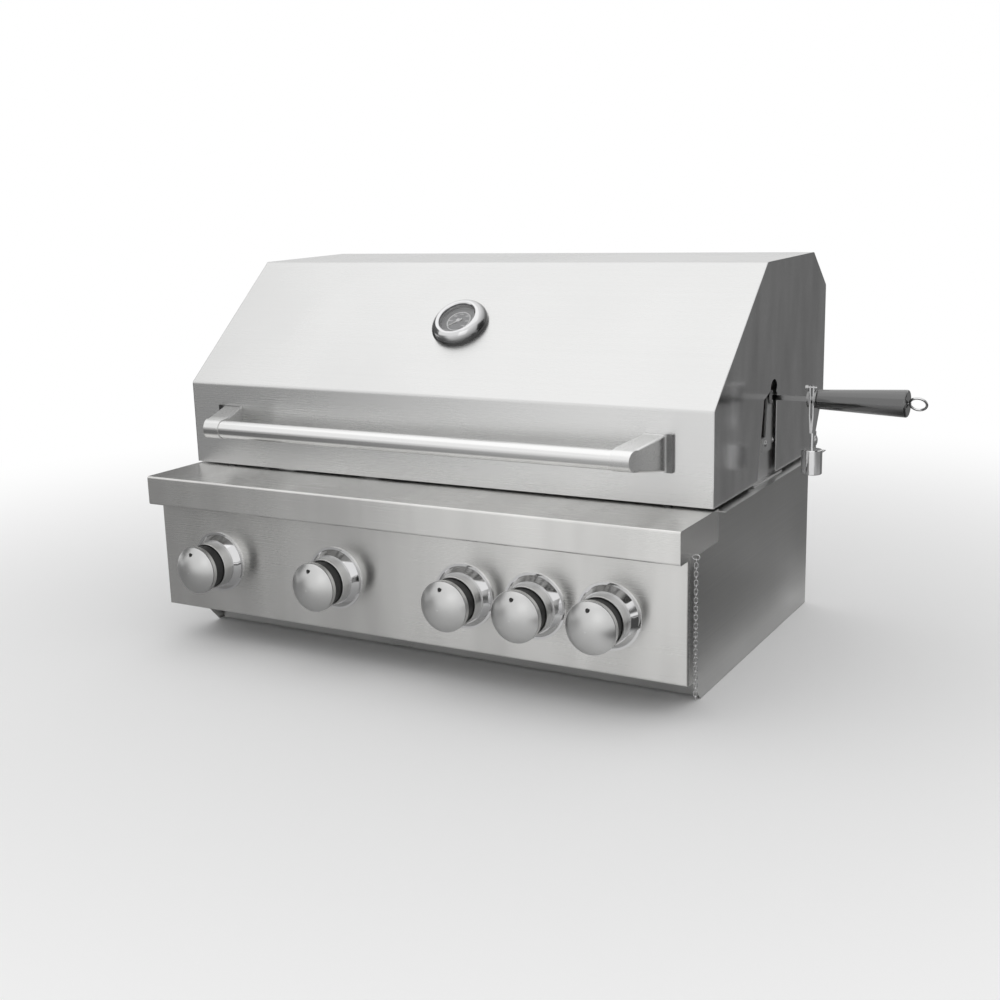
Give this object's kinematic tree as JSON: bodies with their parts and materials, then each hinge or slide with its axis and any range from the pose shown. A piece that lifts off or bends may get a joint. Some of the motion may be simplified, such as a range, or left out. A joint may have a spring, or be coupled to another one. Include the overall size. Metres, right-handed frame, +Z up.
{
  "type": "built-in gas grill",
  "caption": "Drop-in stainless gas grill head with a hinged hood, dial thermometer, tube handle, control knobs, cooking grates and a hand-turned spit.",
  "frame": {"origin": "middle of the hood's depth and width, on the underside of the base pan", "axes": "+X to the user's right along the spit, +Y from the knobs to the back, +Z up"},
  "size_m": [1.0369, 0.5997, 0.5233],
  "materials": {
    "hood_steel": "brushed along its length",
    "panel_steel": "brushed along its length",
    "firebox_steel": "mill finish",
    "tray_steel": "mill finish",
    "handle_steel": "satin",
    "bracket_steel": "satin cast",
    "bezel_chrome": "polished flange, satin collar",
    "gauge_chrome": "polished",
    "gauge_face": "matt grey dial",
    "gauge_glass": "clear",
    "needle_paint": "white",
    "fastener_steel": "plain",
    "bumper_rubber": "matt",
    "brass": "machined",
    "manifold_steel": "dull grey",
    "burner_steel": "plain",
    "grate_steel": "polished rod",
    "tile_ceramic": "matt",
    "spit_steel": "bright drawn",
    "weight_chrome": "polished",
    "handle_black": "glossy",
    "knob_black": "matt",
    "knob_satin": "satin dome",
    "chain_steel": "plain"
  },
  "bodies": {
    "firebox": {"back_panel": "firebox_steel", "base_pan": "firebox_steel", "burner_tubes": "burner_steel", "chain_eye": "fastener_steel", "control_panel": "panel_steel", "cooking_grates": "grate_steel", "cradle_screws": "fastener_steel", "firebox_side_left": "firebox_steel", "firebox_side_right": "firebox_steel", "flame_tamers": "burner_steel", "front_bulkhead": "firebox_steel", "front_ledge": "panel_steel", "gas_manifold": "manifold_steel", "gas_valves": "brass", "hinge_bolts": "fastener_steel", "hinge_brackets": "firebox_steel", "hood_bumpers": "bumper_rubber", "knob_bezels": "bezel_chrome", "rear_burner_housing": "firebox_steel", "rear_burner_pipe": "manifold_steel", "rear_burner_tile": "tile_ceramic", "spit_cradles": "firebox_steel", "spit_risers": "firebox_steel", "support_rails": "firebox_steel"},
    "hood": {"hood_skin": "hood_steel", "hood_side_left": "hood_steel", "hood_side_right": "hood_steel", "handle_bar": "handle_steel", "handle_brackets": "bracket_steel", "hood_fasteners": "fastener_steel", "gauge_case": "gauge_chrome", "gauge_dial": "gauge_face", "gauge_glass": "gauge_glass"},
    "gauge_needle": {"gauge_needle": "needle_paint"},
    "spit": {"spit_rod": "spit_steel", "spit_bushings": "spit_steel", "spit_forks": "spit_steel", "fork_screws": "fastener_steel", "spit_handle": "handle_black", "hanging_ring": "weight_chrome"},
    "balance": {"balance_arm": "spit_steel", "balance_weight": "weight_chrome", "clamp_screw": "fastener_steel"},
    "drip_tray": {"drip_tray": "tray_steel"},
    "lighting_chain": {"lighting_chain": "chain_steel"},
    "valve_stem_1": {"valve_stem_1": "brass"},
    "knob_1": {"knob_core_1": "knob_black", "knob_cap_1": "knob_satin"},
    "valve_stem_2": {"valve_stem_2": "brass"},
    "knob_2": {"knob_core_2": "knob_black", "knob_cap_2": "knob_satin"},
    "valve_stem_3": {"valve_stem_3": "brass"},
    "knob_3": {"knob_core_3": "knob_black", "knob_cap_3": "knob_satin"},
    "valve_stem_4": {"valve_stem_4": "brass"},
    "knob_4": {"knob_core_4": "knob_black", "knob_cap_4": "knob_satin"},
    "valve_stem_5": {"valve_stem_5": "brass"},
    "knob_5": {"knob_core_5": "knob_black", "knob_cap_5": "knob_satin"}
  },
  "joints": [
    {"name": "hood_hinge", "type": "hinge", "parent": "firebox", "child": "hood", "pos_m": [0, 0.1885, 0.2533], "axis": [-1, 0, 0], "range_deg": [0, 85]},
    {"name": "gauge_needle_turn", "type": "hinge", "parent": "hood", "child": "gauge_needle", "pos_m": [0, -0.13029, 0.4412], "axis": [0, 0.6528, -0.7575], "range_deg": [0, 260]},
    {"name": "spit_turn", "type": "hinge", "parent": "firebox", "child": "spit", "pos_m": [0, -0.005, 0.3442], "axis": [1, 0, 0], "continuous": true},
    {"name": "balance_turn", "type": "hinge", "parent": "spit", "child": "balance", "pos_m": [0.4523, -0.005, 0.3442], "axis": [1, 0, 0], "continuous": true},
    {"name": "drip_tray_slide", "type": "slide", "parent": "firebox", "child": "drip_tray", "axis": [0, -1, 0], "range_m": [0, 0.38]},
    {"name": "lighting_chain_swing", "type": "hinge", "parent": "firebox", "child": "lighting_chain", "pos_m": [0.406, -0.2981, 0.19815], "axis": [1, 0, 0], "range_deg": [-30, 30]},
    {"name": "knob_1_turn", "type": "hinge", "parent": "firebox", "child": "valve_stem_1", "pos_m": [-0.3, -0.3081, 0.119], "axis": [0, -1, 0], "range_deg": [0, 215]},
    {"name": "knob_1_push", "type": "slide", "parent": "valve_stem_1", "child": "knob_1", "axis": [0, 1, 0], "range_m": [0, 0.004], "stiffness_N_per_m": 1500},
    {"name": "knob_2_turn", "type": "hinge", "parent": "firebox", "child": "valve_stem_2", "pos_m": [-0.1, -0.3081, 0.119], "axis": [0, -1, 0], "range_deg": [0, 215]},
    {"name": "knob_2_push", "type": "slide", "parent": "valve_stem_2", "child": "knob_2", "axis": [0, 1, 0], "range_m": [0, 0.004], "stiffness_N_per_m": 1500},
    {"name": "knob_3_turn", "type": "hinge", "parent": "firebox", "child": "valve_stem_3", "pos_m": [0.1, -0.3081, 0.119], "axis": [0, -1, 0], "range_deg": [0, 215]},
    {"name": "knob_3_push", "type": "slide", "parent": "valve_stem_3", "child": "knob_3", "axis": [0, 1, 0], "range_m": [0, 0.004], "stiffness_N_per_m": 1500},
    {"name": "knob_4_turn", "type": "hinge", "parent": "firebox", "child": "valve_stem_4", "pos_m": [0.2, -0.3081, 0.119], "axis": [0, -1, 0], "range_deg": [0, 215]},
    {"name": "knob_4_push", "type": "slide", "parent": "valve_stem_4", "child": "knob_4", "axis": [0, 1, 0], "range_m": [0, 0.004], "stiffness_N_per_m": 1500},
    {"name": "knob_5_turn", "type": "hinge", "parent": "firebox", "child": "valve_stem_5", "pos_m": [0.3, -0.3081, 0.119], "axis": [0, -1, 0], "range_deg": [0, 215]},
    {"name": "knob_5_push", "type": "slide", "parent": "valve_stem_5", "child": "knob_5", "axis": [0, 1, 0], "range_m": [0, 0.004], "stiffness_N_per_m": 1500}
  ]
}
